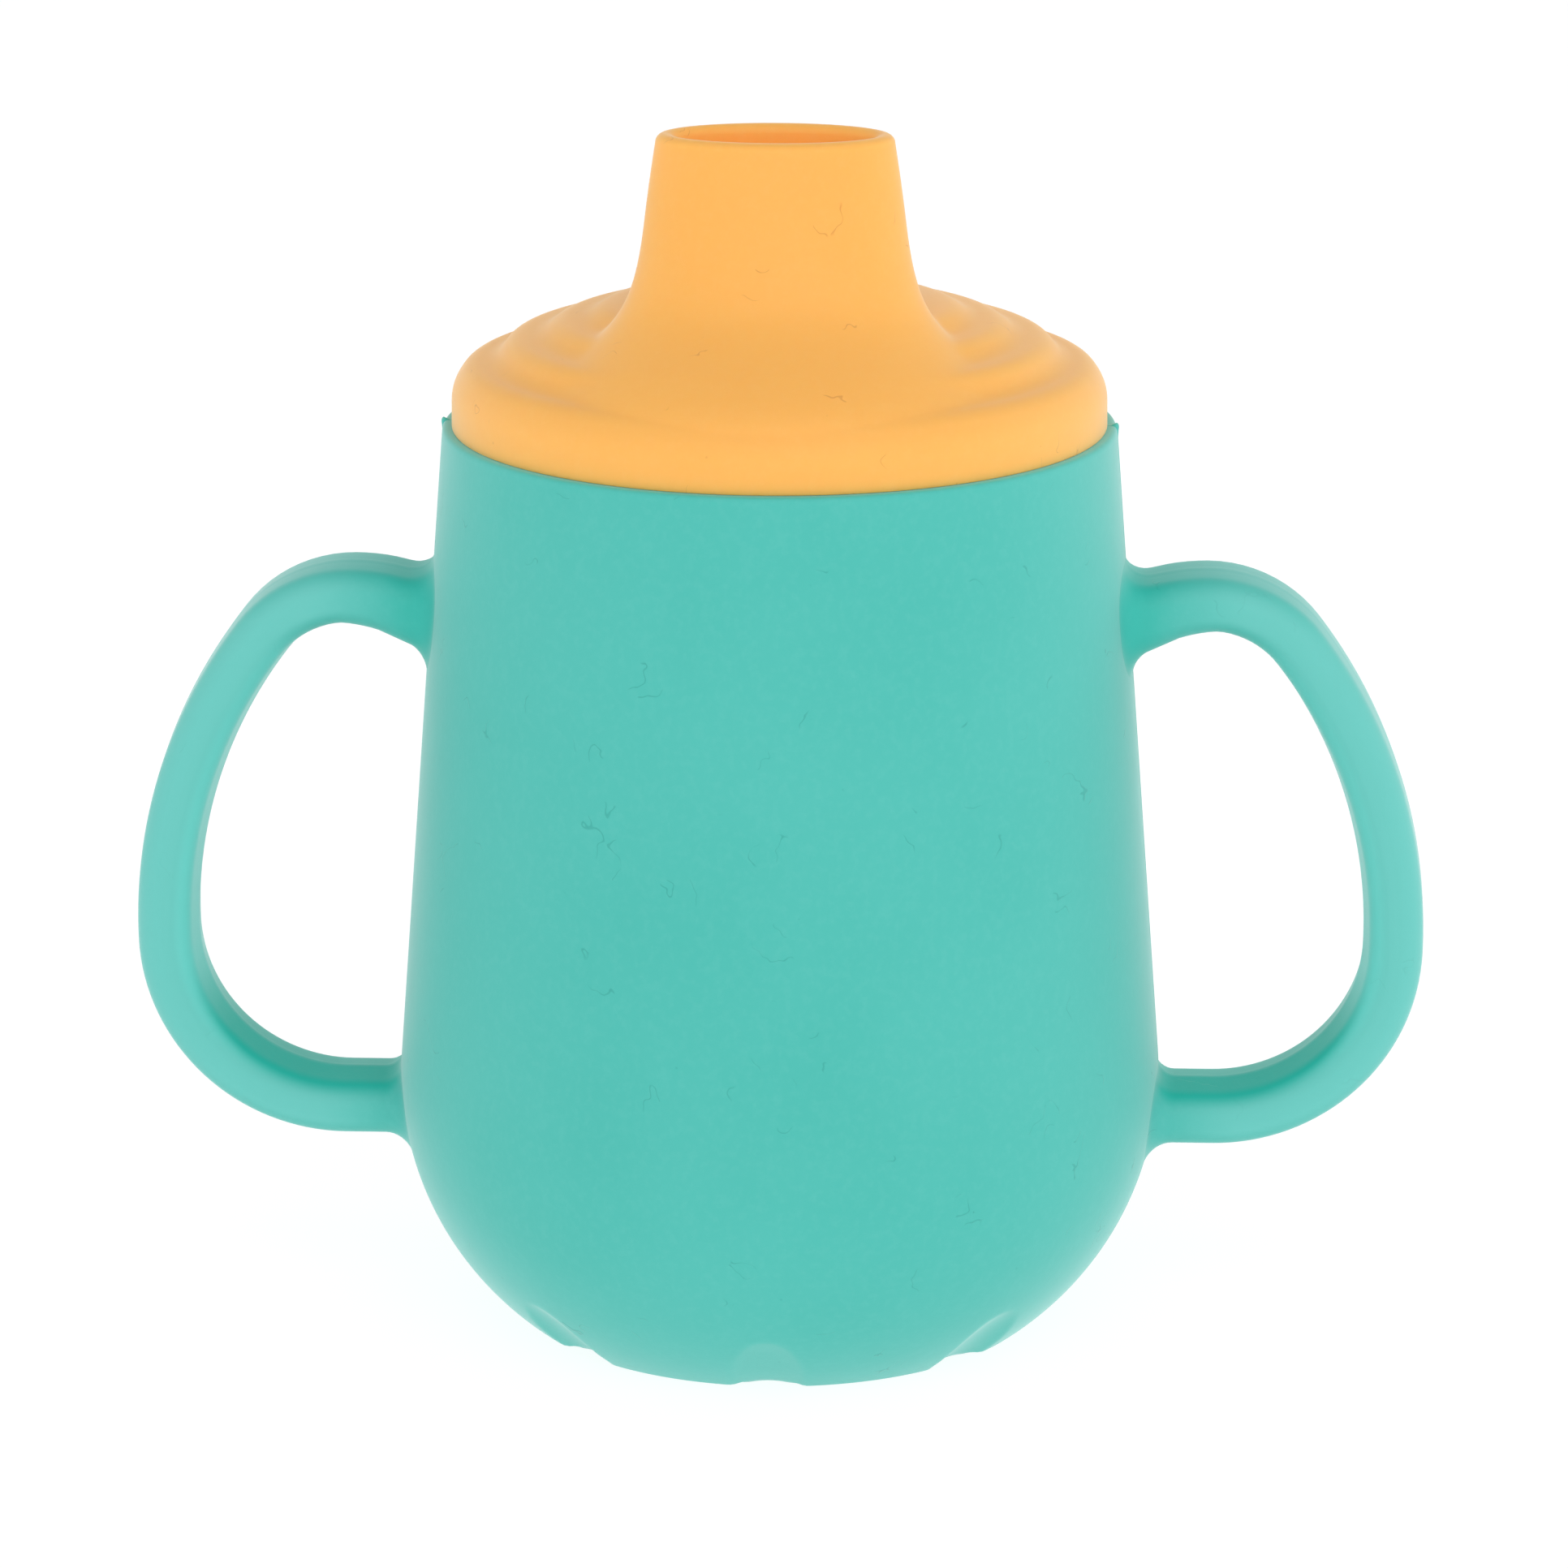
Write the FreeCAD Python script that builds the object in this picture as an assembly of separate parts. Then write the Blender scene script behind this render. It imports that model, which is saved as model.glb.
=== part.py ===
"""Two-handled toddler sippy cup in moulded silicone, millimetres.

The cup stands on z = 0 with its axis on +Z, its handles along X and its spout towards -Y.
Pieces: cup body, left and right handle, spout lid, spill valve.
"""
import os
from math import asin, atan2, cos, degrees, hypot, pi, radians, sin, tan

import FreeCAD
import Part

# Cup wall
RIM_RADIUS = 32.5
RIM_HEIGHT = 89.5
BELLY_RADIUS = 37.5
BELLY_HEIGHT = 24.0
BELLY_CURVE = 30.0
WALL = 2.8
FLOOR = 3.2
INNER_CORNER = 7.0
RIM_ROUND = 0.6
FOOT_INNER_RADIUS = 20.0
FOOT_RECESS = 1.2

# Scalloped grooves round the foot
GROOVE_COUNT = 8
GROOVE_WIDTH = 8.0
GROOVE_DEPTH = 0.9
GROOVE_TOP = 7.0

# Handles: heights, reach and radii of the strap's outer face in the XZ plane
STRAP_THICKNESS = 5.3
STRAP_WIDTH = 11.5
STRAP_EDGE = 2.1
HANDLE_TOP = 75.3
HANDLE_BOTTOM = 18.05
HANDLE_REACH = 63.05
HANDLE_REACH_HEIGHT = 39.0
UPPER_BEND = 13.7
LOWER_BEND = 20.2
GRIP_BOW = 50.7
UPPER_ARM_DROP = 1.8
HANDLE_ROOT_X = 32.0
UPPER_ROOT_X = 33.6
LOWER_ROOT_X = 37.4
ROOT_FLARE = 1.3
ROOT_FLARE_LENGTH = 3.6
# (how far along the flare, share of the swelling there); it starts well inside the wall
FLARE_STEPS = [(-2.0, 1.0), (0.0, 1.0), (0.45, 0.3), (1.0, 0.0)]

# Lid
SKIRT_RADIUS = 31.6
SKIRT_HEIGHT = 3.6
SHOULDER_ROUND = 2.2
TERRACES = [(30.0, 95.7), (25.8, 98.1), (21.3, 99.75), (16.9, 101.15)]
TERRACE_ROUND = 1.3
TERRACE_RISE = 0.4
CROWN_HEIGHT = 102.2
LID_WALL = 2.6
PLUG_DEPTH = 7.0
PLUG_WALL = 2.2
PLUG_CLEARANCE = 0.35
SEAL_CLEARANCE = 0.06
SEAL_HEIGHT = 1.4
SEAL_DEPTHS = [2.0, 4.8]

# Spout: height, centre in Y, half width and half depth of each oval, from the lip down
LIP_HEIGHT = 119.3
SPOUT_OVALS = [
    (LIP_HEIGHT, -9.5, 11.15, 6.5),
    (112.5, -9.6, 12.15, 7.4),
    (106.0, -9.8, 13.2, 8.7),
    (102.5, -10.4, 14.6, 10.6),
    (99.0, -11.9, 17.6, 14.4),
    (95.2, -12.8, 21.6, 17.6),
    (93.0, -12.9, 23.0, 18.2),
]
SPOUT_WALL = 1.2
CHANNEL_WALL = 2.0
CHANNEL_FLOOR = 99.0
LIP_ROUND = 0.55
SPOUT_FLOOR_DEPTH = 3.6
SPOUT_FLOOR = 1.6
DRINK_HOLE_RADIUS = 1.1
DRINK_HOLE_PITCH = 5.0
DRINK_HOLE_COUNT = 3
VENT_RADIUS = 0.6
VENT_Y = 12.0

# Valve and the collar that holds it, on the spout's axis under the lid
VALVE_Y = -9.0
COLLAR_BORE = 7.0
COLLAR_WALL = 2.0
COLLAR_BOTTOM = 86.5
VALVE_CLEARANCE = 0.08
VALVE_STEM = 7.0
VALVE_WALL = 1.2
VALVE_FLANGE_RADIUS = 9.4
VALVE_FLANGE = 1.5
VALVE_FLANGE_GAP = 0.1
VALVE_ROUND = 0.45
VALVE_CROWN_ROUND = 1.0
VALVE_SLIT = 0.3
VALVE_SLIT_LENGTH = 7.0
VALVE_SLIT_DEPTH = 2.0
VALVE_SLIT_HEADROOM = 1.0
PULL_TAB_SIZE = (6.0, 1.8, 4.0)
PULL_TAB_SUNK = 0.2

UP = FreeCAD.Vector(0, 0, 1)

# Two heights closer than this are the same one
SAME_HEIGHT = 0.01


def vec(x, y, z):
    return FreeCAD.Vector(x, y, z)


def line(a, b):
    return Part.LineSegment(a, b).toShape()


def arc(a, b, c):
    return Part.Arc(a, b, c).toShape()


def revolve(points):
    """Turn a closed outline of (radius, height) points round the cup's axis."""
    corners = [vec(r, 0, z) for r, z in points]
    face = Part.Face(Part.makePolygon(corners + corners[:1]))
    return face.revolve(vec(0, 0, 0), UP, 360)


def cylinder(radius, bottom, top, x=0.0, y=0.0):
    return Part.makeCylinder(radius, top - bottom, vec(x, y, bottom))


def box(size, centre_x, centre_y, bottom):
    corner = vec(centre_x - size[0] / 2, centre_y - size[1] / 2, bottom)
    return Part.makeBox(size[0], size[1], size[2], corner)


def round_edges(shape, radius, wanted):
    """Fillet the edges that the test picks out."""
    edges = [edge for edge in shape.Edges if wanted(edge)]
    return shape.makeFillet(radius, edges)


def level_edge(edge, height):
    bounds = edge.BoundBox
    return max(abs(bounds.ZMin - height), abs(bounds.ZMax - height)) < SAME_HEIGHT


# ---- cup wall ----

def wall_tangent():
    """Angle at which the belly's arc runs into the straight taper that ends at the rim."""
    centre_r = BELLY_RADIUS - BELLY_CURVE
    run = RIM_RADIUS - centre_r
    rise = RIM_HEIGHT - BELLY_HEIGHT
    return atan2(rise, run) - (pi / 2 - asin(BELLY_CURVE / hypot(run, rise)))


def wall_outline(inset, bottom, top):
    """Edges of the wall's profile, set in by a distance, between two heights."""
    centre_r = BELLY_RADIUS - BELLY_CURVE
    radius = BELLY_CURVE - inset
    tangent = wall_tangent()
    start = asin((bottom - BELLY_HEIGHT) / radius)
    middle = (start + tangent) / 2

    def on_arc(angle):
        return vec(centre_r + radius * cos(angle), 0, BELLY_HEIGHT + radius * sin(angle))

    join = on_arc(tangent)
    end = vec(join.x - (top - join.z) * tan(tangent), 0, top)
    return on_arc(start), join, end, [arc(on_arc(start), on_arc(middle), join), line(join, end)]


def wall_solid(inset, bottom, top):
    first, _, last, edges = wall_outline(inset, bottom, top)
    axis_top = vec(0, 0, top)
    axis_bottom = vec(0, 0, bottom)
    edges += [line(last, axis_top), line(axis_top, axis_bottom), line(axis_bottom, first)]
    return Part.Face(Part.Wire(edges)).revolve(vec(0, 0, 0), UP, 360)


def mouth_radius(height):
    """Radius of the cup's inner wall at a height near the rim."""
    _, join, _, _ = wall_outline(WALL, FLOOR, RIM_HEIGHT)
    return join.x - (height - join.z) * tan(wall_tangent())


def groove(turn):
    """A round bar, bent along the foot's curve, that scoops the edge and runs out above it."""
    radius = (GROOVE_WIDTH ** 2 / 4 + GROOVE_DEPTH ** 2) / (2 * GROOVE_DEPTH)
    centre_r = BELLY_RADIUS - BELLY_CURVE
    low_angle = asin(-BELLY_HEIGHT / BELLY_CURVE)
    high_angle = asin((GROOVE_TOP - BELLY_HEIGHT) / BELLY_CURVE)

    def bar_centre(share):
        angle = low_angle + share * (high_angle - low_angle)
        reach = BELLY_CURVE + radius - GROOVE_DEPTH * (1 - share)
        return vec(centre_r + reach * cos(angle), 0, BELLY_HEIGHT + reach * sin(angle))

    bend = arc(bar_centre(-1), bar_centre(0.5), bar_centre(2))
    hub = bend.Curve.Center
    spoke = bar_centre(-1) - hub
    ring = Part.Circle(bar_centre(-1), vec(0, 1, 0).cross(spoke).normalize(), radius)
    face = Part.Face(Part.Wire([ring.toShape()]))
    sweep = degrees(bend.Length / bend.Curve.Radius)
    tool = face.revolve(hub, vec(0, -1, 0), sweep)
    tool.rotate(vec(0, 0, 0), UP, turn)
    return tool


def cup_body():
    cup = wall_solid(0, 0, RIM_HEIGHT)
    hollow = wall_solid(WALL, FLOOR, RIM_HEIGHT)
    hollow = round_edges(hollow, INNER_CORNER, lambda edge: level_edge(edge, FLOOR))
    cup = cup.cut(hollow)
    cup = cup.cut(cylinder(FOOT_INNER_RADIUS, 0, FOOT_RECESS))
    for index in range(GROOVE_COUNT):
        cup = cup.cut(groove(index * 360 / GROOVE_COUNT - 90))
    return round_edges(cup, RIM_ROUND, lambda edge: level_edge(edge, RIM_HEIGHT))


# ---- handles ----

def strap_section(at, along, thickness, width, edge):
    """Rounded section of the strap, square to its path."""
    side = vec(0, 1, 0)
    up = along.cross(side).normalize()
    half_t = thickness / 2
    half_w = width / 2
    diagonal = edge * (1 - cos(pi / 4))

    def at_point(u, v):
        return at + up * u + side * v

    edges = []
    for su, sv, flip in ((1, 1, False), (1, -1, True), (-1, -1, False), (-1, 1, True)):
        first = at_point(su * half_t, sv * (half_w - edge))
        mid = at_point(su * (half_t - diagonal), sv * (half_w - diagonal))
        last = at_point(su * (half_t - edge), sv * half_w)
        edges.append((last, mid, first) if not flip else (first, mid, last))
    shapes = []
    for index, (first, mid, last) in enumerate(edges):
        shapes.append(arc(first, mid, last))
        shapes.append(line(last, edges[(index + 1) % 4][0]))
    return Part.Wire(shapes)


def strap_path():
    """Centre line of the right handle: an arched upper arm, a bowed grip and a level lower arm."""
    half = STRAP_THICKNESS / 2
    bow = GRIP_BOW - half
    hub = vec(HANDLE_REACH - GRIP_BOW, 0, HANDLE_REACH_HEIGHT)

    def bend(arm_height, radius, way):
        """Arc that leaves a level arm and runs into the grip's bow; way is +1 above, -1 below."""
        rise = arm_height - way * radius - hub.z
        centre = hub + vec(((bow - radius) ** 2 - rise ** 2) ** 0.5, 0, rise)
        meet = asin(rise / (bow - radius))
        middle = (meet + way * pi / 2) / 2
        return (centre + UP * way * radius,
                centre + vec(cos(middle), 0, sin(middle)) * radius,
                centre + vec(cos(meet), 0, sin(meet)) * radius)

    top = bend(HANDLE_TOP - half, UPPER_BEND - half, 1)
    bottom = bend(HANDLE_BOTTOM + half, LOWER_BEND - half, -1)

    # the upper arm sinks a little, in a gentle arch, on its way to the cup
    span = top[0].x - HANDLE_ROOT_X
    arch = (span ** 2 + UPPER_ARM_DROP ** 2) / (2 * UPPER_ARM_DROP)

    def on_arch(share):
        lean = share * asin(span / arch)
        return top[0] + vec(-arch * sin(lean), 0, arch * (cos(lean) - 1))

    return Part.Wire([
        arc(on_arch(1), on_arch(0.5), top[0]),
        arc(*top),
        arc(top[2], hub + vec(bow, 0, 0), bottom[2]),
        arc(*reversed(bottom)),
        line(bottom[0], vec(HANDLE_ROOT_X, 0, bottom[0].z)),
    ])


def root_flare(height, wall_x):
    """Short swelling where an arm grows out of the cup's wall."""
    sections = []
    for step, swell in FLARE_STEPS:
        grown = 2 * ROOT_FLARE * swell
        at = vec(wall_x + step * ROOT_FLARE_LENGTH, 0, height)
        sections.append(strap_section(
            at, vec(1, 0, 0), STRAP_THICKNESS + grown, STRAP_WIDTH + grown, STRAP_EDGE + grown / 2))
    return Part.makeLoft(sections, True, False)


def right_handle():
    path = strap_path()
    start = path.OrderedVertexes[0].Point
    first_edge = path.OrderedEdges[0]
    heading = first_edge.tangentAt(first_edge.FirstParameter)
    if heading.x < 0:
        heading = heading * -1
    section = strap_section(start, heading, STRAP_THICKNESS, STRAP_WIDTH, STRAP_EDGE)
    strap = path.makePipeShell([section], True, True)
    upper = root_flare(start.z, UPPER_ROOT_X)
    lower = root_flare(HANDLE_BOTTOM + STRAP_THICKNESS / 2, LOWER_ROOT_X)
    handle = strap.fuse([upper, lower]).removeSplitter()
    return handle.cut(wall_solid(0, 0, RIM_HEIGHT))


# ---- lid ----

def oval(height, centre_y, half_width, half_depth):
    """Oval in a level plane, wide along X."""
    ellipse = Part.Ellipse(vec(0, centre_y, height), half_width, half_depth)
    return Part.Wire([ellipse.toShape()])


def spout_stack(inset, ovals):
    return Part.makeLoft([oval(z, y, a - inset, b - inset) for z, y, a, b in ovals], True, False)


def lid_outline(inset):
    """Half outline of the terraced dome, from its outer foot to the axis."""
    points = [(SKIRT_RADIUS - inset, RIM_HEIGHT)]
    shoulder = RIM_HEIGHT + SKIRT_HEIGHT
    points.append((SKIRT_RADIUS - inset, shoulder - inset))
    for index, (radius, height) in enumerate(TERRACES):
        points.append((radius - inset, height - inset))
        if index + 1 < len(TERRACES):
            step = TERRACES[index + 1][0] + TERRACE_ROUND
            points.append((step - inset, height + TERRACE_RISE - inset))
    points.append((0, CROWN_HEIGHT - inset))
    return points


def lid_dome():
    outside = revolve(lid_outline(0) + [(0, RIM_HEIGHT)])
    crests = [z for _, z in TERRACES]
    outside = round_edges(outside, TERRACE_ROUND, lambda edge: any(level_edge(edge, z) for z in crests))
    shoulder = RIM_HEIGHT + SKIRT_HEIGHT
    return round_edges(outside, SHOULDER_ROUND, lambda edge: level_edge(edge, shoulder))


def plug_ring():
    """Ring that pushes into the cup's mouth, with two sealing ribs."""
    bottom = RIM_HEIGHT - PLUG_DEPTH
    top_radius = mouth_radius(RIM_HEIGHT) - PLUG_CLEARANCE
    ring = cylinder(top_radius, bottom, RIM_HEIGHT)
    for depth in SEAL_DEPTHS:
        height = RIM_HEIGHT - depth
        reach = mouth_radius(height) - SEAL_CLEARANCE
        half = SEAL_HEIGHT / 2
        rib = revolve([(top_radius - 1, height - half), (top_radius, height - half),
                       (reach, height), (top_radius, height + half), (top_radius - 1, height + half)])
        ring = ring.fuse(rib)
    return ring.cut(cylinder(top_radius - PLUG_WALL, bottom, RIM_HEIGHT))


def spout_lid():
    spout = spout_stack(0, SPOUT_OVALS)
    lip = round_edges(spout, LIP_ROUND, lambda edge: level_edge(edge, LIP_HEIGHT))
    shell = lid_dome().fuse(lip).removeSplitter()

    # hollow under the dome and up inside the spout
    inner_radius = mouth_radius(RIM_HEIGHT) - PLUG_CLEARANCE - PLUG_WALL
    hollow = cylinder(inner_radius, RIM_HEIGHT, TERRACES[0][1] - LID_WALL)
    for radius, height in TERRACES[1:]:
        hollow = hollow.fuse(cylinder(radius - LID_WALL, RIM_HEIGHT, height - LID_WALL))
    channel_top = LIP_HEIGHT - SPOUT_FLOOR_DEPTH - SPOUT_FLOOR
    tip, upper, lower = SPOUT_OVALS[:3]
    ends = [(channel_top, *upper[1:]), lower, (CHANNEL_FLOOR, *lower[1:])]
    inner = [oval(z, y, a - CHANNEL_WALL, b - CHANNEL_WALL) for z, y, a, b in ends]
    channel = Part.makeLoft(inner, True, True)
    collar = cylinder(COLLAR_BORE + COLLAR_WALL, COLLAR_BOTTOM, CHANNEL_FLOOR, 0, VALVE_Y)
    bore = cylinder(COLLAR_BORE, COLLAR_BOTTOM, CHANNEL_FLOOR + 1, 0, VALVE_Y)
    lid = shell.cut(hollow.fuse(channel)).fuse([plug_ring(), collar])
    lid = lid.cut(bore)

    # drinking recess, drinking holes and air vent
    recess_bottom = LIP_HEIGHT - SPOUT_FLOOR_DEPTH
    recess = spout_stack(SPOUT_WALL, [tip, (recess_bottom, *tip[1:])])
    lid = lid.cut(recess)
    for index in range(DRINK_HOLE_COUNT):
        x = (index - (DRINK_HOLE_COUNT - 1) / 2) * DRINK_HOLE_PITCH
        lid = lid.cut(cylinder(DRINK_HOLE_RADIUS, channel_top - 1, recess_bottom + 1, x, tip[1]))
    return lid.cut(cylinder(VENT_RADIUS, RIM_HEIGHT, CROWN_HEIGHT + 1, 0, VENT_Y))


# ---- valve ----

def spill_valve():
    """Soft plug with a slit crown, pushed up into the lid's collar."""
    radius = COLLAR_BORE - VALVE_CLEARANCE
    flange_top = COLLAR_BOTTOM - VALVE_FLANGE_GAP
    flange_bottom = flange_top - VALVE_FLANGE
    crown = flange_top + VALVE_STEM
    stem = cylinder(radius, flange_bottom, crown, 0, VALVE_Y)
    stem = round_edges(stem, VALVE_CROWN_ROUND, lambda edge: level_edge(edge, crown))
    flange = cylinder(VALVE_FLANGE_RADIUS, flange_bottom, flange_top, 0, VALVE_Y)
    flange = flange.makeFillet(VALVE_ROUND, [edge for edge in flange.Edges if len(edge.Vertexes) == 1])
    bore = cylinder(radius - VALVE_WALL, flange_bottom, crown - VALVE_WALL, 0, VALVE_Y)
    valve = stem.fuse(flange).cut(bore)
    cut_height = VALVE_SLIT_DEPTH + VALVE_SLIT_HEADROOM
    for size in ((VALVE_SLIT_LENGTH, VALVE_SLIT, cut_height), (VALVE_SLIT, VALVE_SLIT_LENGTH, cut_height)):
        valve = valve.cut(box(size, 0, VALVE_Y, crown - VALVE_SLIT_DEPTH))
    tab_y = VALVE_Y - radius - PULL_TAB_SIZE[1] / 2 + PULL_TAB_SUNK
    tab = box(PULL_TAB_SIZE, 0, tab_y, flange_bottom - PULL_TAB_SIZE[2] + PULL_TAB_SUNK)
    tab = tab.makeFillet(VALVE_ROUND, tab.Edges)
    return valve.fuse(tab).removeSplitter()


def save(name, shape):
    shape.exportStep(os.path.join("parts", name + ".step"))
    bounds = shape.BoundBox
    print(name, "solids", len(shape.Solids), "valid", shape.isValid(), "volume", round(shape.Volume, 1),
          "box", [round(v, 2) for v in (bounds.XMin, bounds.YMin, bounds.ZMin,
                                        bounds.XMax, bounds.YMax, bounds.ZMax)])


os.makedirs("parts", exist_ok=True)
right = right_handle()
save("cup_body", cup_body())
save("handle_right", right)
save("handle_left", right.mirror(vec(0, 0, 0), vec(1, 0, 0)))
save("spout_lid", spout_lid())
save("spill_valve", spill_valve())
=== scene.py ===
"""A toddler's two-handled silicone sippy cup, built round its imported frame, in metres."""
from math import asin, cos, hypot, pi, radians, sin, sqrt, tan

import bmesh
import bpy
import numpy as np
from mathutils import Matrix, Vector


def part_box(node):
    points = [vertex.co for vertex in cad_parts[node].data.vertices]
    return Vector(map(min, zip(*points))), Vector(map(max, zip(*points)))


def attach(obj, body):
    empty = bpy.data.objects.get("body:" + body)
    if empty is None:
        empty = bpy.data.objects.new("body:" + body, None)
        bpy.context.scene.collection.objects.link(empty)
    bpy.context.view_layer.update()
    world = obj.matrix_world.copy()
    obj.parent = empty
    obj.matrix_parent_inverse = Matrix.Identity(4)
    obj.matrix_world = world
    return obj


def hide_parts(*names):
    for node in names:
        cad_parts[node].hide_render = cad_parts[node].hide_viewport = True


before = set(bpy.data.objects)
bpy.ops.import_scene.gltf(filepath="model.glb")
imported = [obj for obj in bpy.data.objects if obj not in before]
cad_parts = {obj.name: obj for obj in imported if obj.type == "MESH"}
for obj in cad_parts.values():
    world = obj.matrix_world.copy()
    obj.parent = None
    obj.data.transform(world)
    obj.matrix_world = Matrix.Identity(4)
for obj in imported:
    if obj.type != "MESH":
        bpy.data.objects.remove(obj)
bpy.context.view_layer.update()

# ---- Cup wall ----
# One thick moulding of matte teal silicone, open at the top. The wall tapers up to the mouth,
# swells into a round belly, and stands on a flat foot ring with scooped, scalloped grooves.
MM = 0.001
wall_low, wall_high = (Vector(corner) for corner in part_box("cup_body"))
BELLY_RADIUS = (wall_high.x - wall_low.x) / 2
RIM_HEIGHT = wall_high.z
RIM_RADIUS = 32.5 * MM
BELLY_HEIGHT = 24 * MM
BELLY_CURVE = 30 * MM
WALL = 2.8 * MM
FLOOR = 3.2 * MM
FLOOR_RADIUS = 24.2 * MM
FOOT_INNER = 20 * MM
FOOT_RECESS = 1.2 * MM
GROOVES = 8
GROOVE_WIDTH = 8 * MM
GROOVE_DEPTH = 0.9 * MM
GROOVE_TOP = 7 * MM
GROOVE_EDGE = 0.06 * MM
GROOVE_REACH = 10 * MM
SHARP_CORNER = 0.5 * MM
RIM_ROUND = 0.55 * MM
INNER_CORNER = 6 * MM
AXIS_GAP = 0.5 * MM
WALL_PACE = 0.9 * MM
AROUND_WALL = 480
PARTING_LINE = 0.06 * MM
PARTING_WIDTH = 0.16 * MM
RIM_FLASH = 0.3 * MM
RIM_FLASH_WIDTH = 0.16 * MM
RIM_FLASH_DEPTH = 0.8 * MM

BELLY_AXIS = BELLY_RADIUS - BELLY_CURVE
taper_run, taper_rise = RIM_RADIUS - BELLY_AXIS, RIM_HEIGHT - BELLY_HEIGHT
TAPER = asin(BELLY_CURVE / hypot(taper_run, taper_rise)) - np.arctan2(taper_run, taper_rise)


def wall_radius(height, inset=0.0):
    """Radius of the wall's skin at a height: the belly's arc, then the straight taper."""
    curve = BELLY_CURVE - inset
    join = BELLY_HEIGHT + curve * sin(TAPER)
    arc = BELLY_AXIS + np.sqrt(np.maximum(curve ** 2 - (height - BELLY_HEIGHT) ** 2, 0))
    straight = BELLY_AXIS + curve * cos(TAPER) - (height - join) * tan(TAPER)
    return np.where(height < join, arc, straight)


def soften(corners, steps=6):
    """Outline of (radius, height, rounding) corners with each corner rounded off."""
    points = [np.array(corners[0][:2])]
    for before, corner, after in zip(corners, corners[1:], corners[2:]):
        here = np.array(corner[:2])
        if corner[2] == 0:
            points.append(here)
            continue
        back, on = np.array(before[:2]) - here, np.array(after[:2]) - here
        reach = min(corner[2], 0.48 * np.hypot(*back), 0.48 * np.hypot(*on))
        start, end = here + back / np.hypot(*back) * reach, here + on / np.hypot(*on) * reach
        for t in np.linspace(0, 1, steps):
            points.append((1 - t) ** 2 * start + 2 * t * (1 - t) * here + t * t * end)
    points.append(np.array(corners[-1][:2]))
    return np.array(points)


def pace_out(points, spacing):
    """The same outline with no stretch longer than the spacing."""
    paced = [points[0]]
    for start, end in zip(points, points[1:]):
        count = max(1, int(np.ceil(np.hypot(*(end - start)) / spacing)))
        paced += [start + (end - start) * k / count for k in range(1, count + 1)]
    return np.array(paced)


def skin_over(name, rings, closed=False):
    """Closed mesh over rings of equal length: a tube with capped ends, or a ring-shaped loop."""
    rings = np.asarray(rings)
    count, around = rings.shape[:2]
    points = rings.reshape(-1, 3)
    faces = []
    for row in range(count if closed else count - 1):
        this, following = row * around, (row + 1) % count * around
        for k in range(around):
            on = (k + 1) % around
            faces.append((this + k, this + on, following + on, following + k))
    if not closed:
        ends = len(points), len(points) + 1
        points = np.vstack([points, rings[0].mean(axis=0), rings[-1].mean(axis=0)])
        last = (count - 1) * around
        for k in range(around):
            on = (k + 1) % around
            faces.append((on, k, ends[0]))
            faces.append((last + k, last + on, ends[1]))
    mesh = bpy.data.meshes.new(name)
    mesh.from_pydata(points.tolist(), [], faces)
    work = bmesh.new()
    work.from_mesh(mesh)
    bmesh.ops.remove_doubles(work, verts=work.verts, dist=1e-7)
    bmesh.ops.recalc_face_normals(work, faces=work.faces)
    for face in work.faces:
        face.smooth = True
    work.to_mesh(mesh)
    work.free()
    piece = bpy.data.objects.new(name, mesh)
    bpy.context.scene.collection.objects.link(piece)
    return piece


def scooped(radius, height, turn):
    """Pushes a point of the foot's edge out of the round bar that scooped the nearest groove."""
    bar = (GROOVE_WIDTH ** 2 / 4 + GROOVE_DEPTH ** 2) / (2 * GROOVE_DEPTH)
    low = asin(-BELLY_HEIGHT / BELLY_CURVE)
    high = asin((GROOVE_TOP - BELLY_HEIGHT) / BELLY_CURVE)
    pitch = 2 * pi / GROOVES
    off = (turn + pi / 2 + pitch / 2) % pitch - pitch / 2
    along, across = radius * np.cos(off), radius * np.sin(off)
    lean = np.arctan2(height - BELLY_HEIGHT, along - BELLY_AXIS)
    reach = np.hypot(along - BELLY_AXIS, height - BELLY_HEIGHT)
    share = (lean - low) / (high - low)
    axis = BELLY_CURVE + bar - GROOVE_DEPTH * (1 - np.clip(share, 0, 2) ** 3)
    gap = np.hypot(axis - reach, across)
    pushed = 0.5 * (gap + bar + np.sqrt((gap - bar) ** 2 + GROOVE_EDGE ** 2)) - GROOVE_EDGE * 0.02
    grow = np.where(gap < bar + 2 * GROOVE_EDGE, pushed / gap, 1)
    reach, across = axis - (axis - reach) * grow, across * grow
    along = BELLY_AXIS + reach * np.cos(lean)
    height = BELLY_HEIGHT + reach * np.sin(lean)
    swing = turn - off
    return (along * np.cos(swing) - across * np.sin(swing),
            along * np.sin(swing) + across * np.cos(swing), np.maximum(height, 0))


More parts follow.
